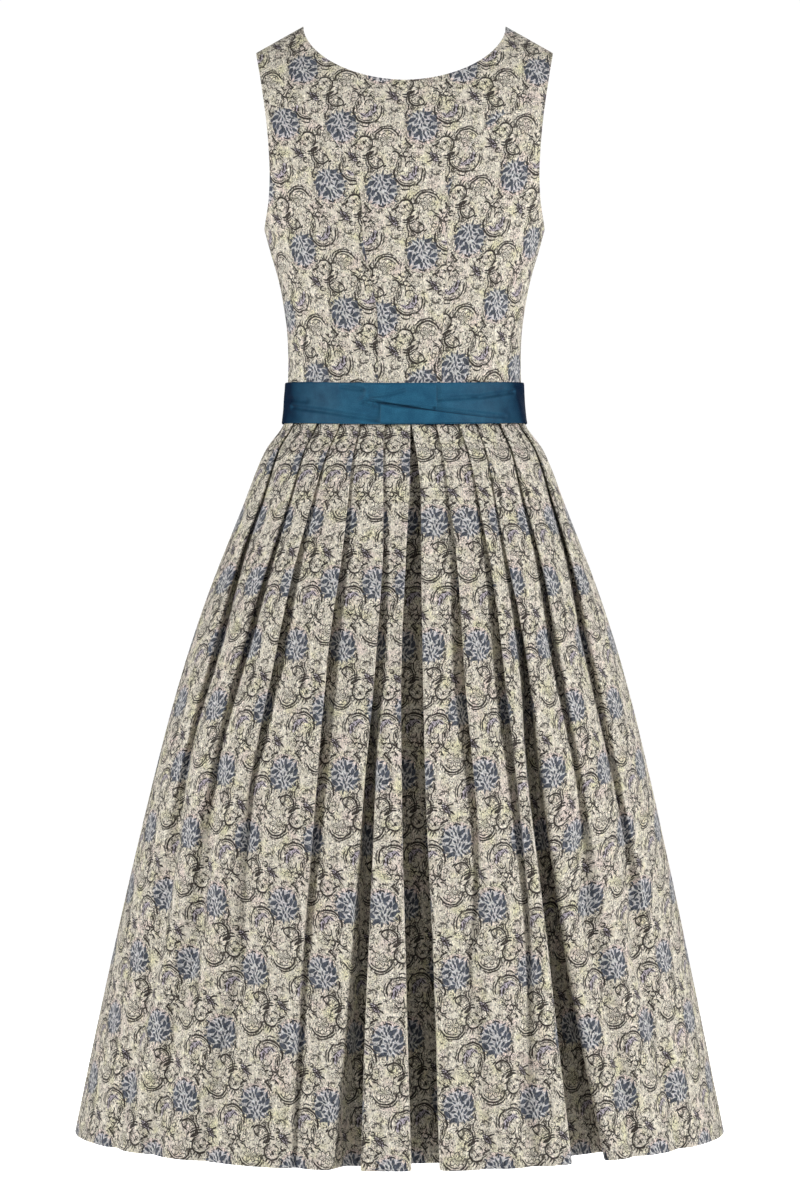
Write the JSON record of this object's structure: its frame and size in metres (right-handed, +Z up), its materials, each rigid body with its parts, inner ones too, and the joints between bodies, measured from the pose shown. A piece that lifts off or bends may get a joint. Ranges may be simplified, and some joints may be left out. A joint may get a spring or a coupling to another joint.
{
  "type": "dirndl",
  "caption": "Sleeveless midi dirndl in worn form: panelled bodice, pleated flared skirt in floral jacquard, flat satin sash at the waist.",
  "frame": {"origin": "between the shoulders, in the plane of the shoulder and side seams, 15 mm below the highest point of the shoulder seams, where the wearer's shoulders hold the dress", "axes": "+Z up, -Y towards the wearer's back, +X towards the wearer's right"},
  "size_m": [0.721, 0.5392, 1.238],
  "materials": {
    "jacquard": "woven jacquard, matt with a faint sheen",
    "sash": "satin twill, soft sheen"
  },
  "bodies": {
    "root": {"bodice_back_centre": "jacquard", "bodice_back_left": "jacquard", "bodice_back_right": "jacquard", "bodice_front_side_left": "jacquard", "bodice_front_side_right": "jacquard", "bodice_front_centre_left": "jacquard", "bodice_front_centre_right": "jacquard", "skirt_back": "jacquard", "skirt_front_left": "jacquard", "skirt_front_right": "jacquard", "sash_band": "sash", "sash_end_upper": "sash", "sash_end_lower": "sash"}
  },
  "joints": []
}
